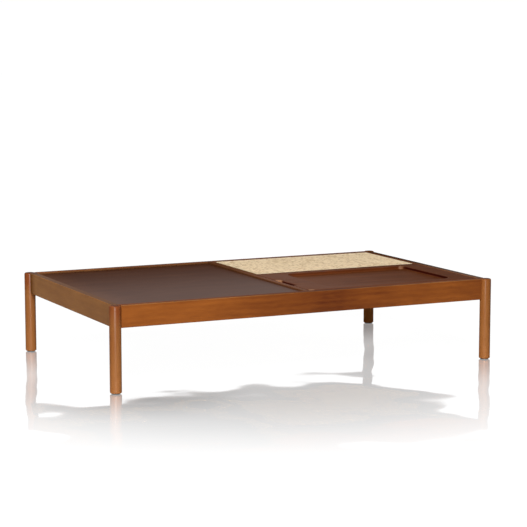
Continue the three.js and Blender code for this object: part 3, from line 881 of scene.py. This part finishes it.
def finish_nodes(tray_wood):
    """The CAD nodes that stay: lippings, backing board, ledgers, bearer, screws and glides."""
    plain_x = wood("plain_wood_x", PLAIN_TONES, "X", (3.3, 0.2, 0.1), coat=0.0)
    plain_y = wood("plain_wood_y", PLAIN_TONES, "Y", (3.9, 0.2, 0.1), coat=0.0)
    lippings = {
        "cane_lipping_left": wood("left_lipping_wood", LIPPING_TONES, "Y", (6.2, 0.1, 0.0), coat=0.08),
        # The right lipping takes the darker tray tones: painted shade of the gap beside the right rail
        "cane_lipping_right": wood("right_lipping_wood", TRAY_TONES, "Y", (7.1, 0.2, 0.0), coat=0.05),
    }
    glide_nylon = nylon("glide_nylon")
    screw_zinc = zinc("screw_zinc")
    for name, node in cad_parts.items():
        if node.hide_render:
            continue
        low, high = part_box(name)
        size = high - low
        if name.startswith("glide"):
            finish(node, glide_nylon)
        elif name.startswith("ledger_screw"):
            finish(node, screw_zinc)
        elif name.startswith("cane_lipping"):
            finish(node, tray_wood if size.x > size.y else lippings[name])
        else:
            finish(node, plain_x if size.x > size.y else plain_y)


def finish(node, material):
    """A CAD node that stays, with a material of its own and softened edges."""
    node.data.materials.clear()
    node.data.materials.append(material)
    bevel = node.modifiers.new("eased_edges", "BEVEL")
    bevel.width = EASED_EDGE
    bevel.segments = EASED_STEPS
    bevel.limit_method = "ANGLE"
    bevel.angle_limit = EASED_ANGLE


# Floor, light and camera

FLOOR_HALF = 30.0
FLOOR_SHADE = 0.13
FLOOR_GLOW = 0.94
FAR_FLOOR = (2.0, 5.0)  # from the table's middle, where the glow rises to plain white
GLOSS_SHARE = 0.48
GLOSS_FADE = (0.6, 1.8)  # from the table's middle, where the gloss fades out
GLOSS_ROUGHNESS = 0.05
RIPPLE_WAVES = (3.1, 3.1, 3.1)
RIPPLE_HEIGHT = 0.008
FOOT_PLACE = (0.681, 0.411, 0.0)
FOOT_GLOSS_REACH = 0.5
FOOT_GLOSS = 1.6  # at a foot, times the gloss beyond its reach
AMBIENT = 0.04
BACKDROP = 1.03  # what the camera and reflections see
AIM = Vector((0.0, 0.0, 0.2))


def floor_gloss(tree, coordinates, away):
    """The share of the mirror in the floor, which is highest at the feet and none far away."""
    share = tree.remap(away, *GLOSS_FADE, GLOSS_SHARE, 0.0, smooth=True)
    folded = tree.vector("ABSOLUTE", coordinates)
    from_foot = tree.vector("DISTANCE", folded, FOOT_PLACE)
    at_foot = tree.remap(from_foot, 0.0, FOOT_GLOSS_REACH, FOOT_GLOSS, 1.0, smooth=True)
    return tree.math("MULTIPLY", share, at_foot)


def floor_white(name):
    """A white that takes a faint shadow, with a slightly wavy mirror in it round the table."""
    material = bpy.data.materials.new(name)
    tree = Tree(material)
    coordinates = tree.coordinates()
    away = tree.vector("LENGTH", coordinates)
    matte = tree.add("ShaderNodeBsdfDiffuse", {"Color": (FLOOR_SHADE,) * 3 + (1.0,)}).outputs[0]
    level = tree.remap(away, *FAR_FLOOR, FLOOR_GLOW, 1.0, smooth=True)
    strength = tree.math("MULTIPLY", tree.seen_rays(), level)
    glow = tree.add("ShaderNodeEmission", {"Color": WHITE, "Strength": strength}).outputs[0]
    pale = tree.add("ShaderNodeAddShader", {0: matte, 1: glow}).outputs[0]
    ripple = tree.noise(coordinates, RIPPLE_WAVES, detail=1.2, roughness=0.4)
    mirror = tree.add("ShaderNodeBsdfGlossy", {
        "Color": WHITE,
        "Roughness": GLOSS_ROUGHNESS,
        "Normal": tree.bump(ripple, strength=1.0, distance=RIPPLE_HEIGHT),
    }).outputs[0]
    share = floor_gloss(tree, coordinates, away)
    surface = tree.add("ShaderNodeMixShader", {0: share, 1: pale, 2: mirror}).outputs[0]
    tree.add("ShaderNodeOutputMaterial", {"Surface": surface})
    return material


def make_floor():
    mesh = bpy.data.meshes.new("floor")
    half = FLOOR_HALF
    square = [(-half, -half, 0), (half, -half, 0), (half, half, 0), (-half, half, 0)]
    mesh.from_pydata(square, [], [(0, 1, 2, 3)])
    floor = bpy.data.objects.new("floor", mesh)
    bpy.context.scene.collection.objects.link(floor)
    mesh.materials.append(floor_white("floor_white"))


def make_world():
    """A bright backdrop for the camera and reflections, and a faint light on everything."""
    world = bpy.data.worlds.new("studio")
    bpy.context.scene.world = world
    tree = Tree(world)
    strength = tree.remap(tree.seen_rays(), 0.0, 1.0, AMBIENT, BACKDROP)
    back = tree.add("ShaderNodeBackground", {"Color": WHITE, "Strength": strength})
    tree.add("ShaderNodeOutputWorld", {"Surface": back.outputs[0]})


def make_lamp(name, azimuth, elevation, distance, size, level, gloss=True, matte=True):
    """A soft square lamp turned to the table. Its azimuth goes from the front, -Y, towards the left.
    Level is the brightness that it alone gives a white face turned to it. Without gloss it makes no
    highlights, and without matte it makes highlights alone."""
    azimuth, elevation = math.radians(azimuth), math.radians(elevation)
    away = Vector((
        -math.sin(azimuth) * math.cos(elevation),
        -math.cos(azimuth) * math.cos(elevation),
        math.sin(elevation),
    ))
    light = bpy.data.lights.new(name, "AREA")
    light.shape = "SQUARE"
    light.size = size
    light.energy = level * math.pi**2 * distance**2
    lamp = bpy.data.objects.new(name, light)
    lamp.location = AIM + away * distance
    lamp.rotation_mode = "QUATERNION"
    lamp.rotation_quaternion = (-away).to_track_quat("-Z", "Y")
    lamp.visible_glossy = gloss
    lamp.visible_diffuse = matte
    bpy.context.scene.collection.objects.link(lamp)


def make_camera():
    data = bpy.data.cameras.new("camera")
    data.lens = CAMERA_LENS
    data.sensor_width = CAMERA_SENSOR
    data.clip_end = CAMERA_REACH
    camera = bpy.data.objects.new("camera", data)
    camera.location = CAMERA_PLACE
    camera.rotation_euler = (math.pi / 2 - CAMERA_PITCH, 0.0, -CAMERA_YAW)
    bpy.context.scene.collection.objects.link(camera)
    bpy.context.scene.camera = camera


make_camera()
dress()
make_floor()
make_world()
make_lamp("key", azimuth=32.0, elevation=42.0, distance=9.0, size=2.6, level=1.15)
make_lamp("fill", azimuth=32.0, elevation=20.0, distance=8.0, size=1.6, level=0.3)
make_lamp("back", azimuth=215.0, elevation=10.0, distance=8.0, size=2.4, level=0.35, gloss=False)
make_lamp("glint", azimuth=27.0, elevation=3.0, distance=8.0, size=0.7, level=0.9, matte=False)
bpy.context.scene.view_settings.view_transform = "Standard"
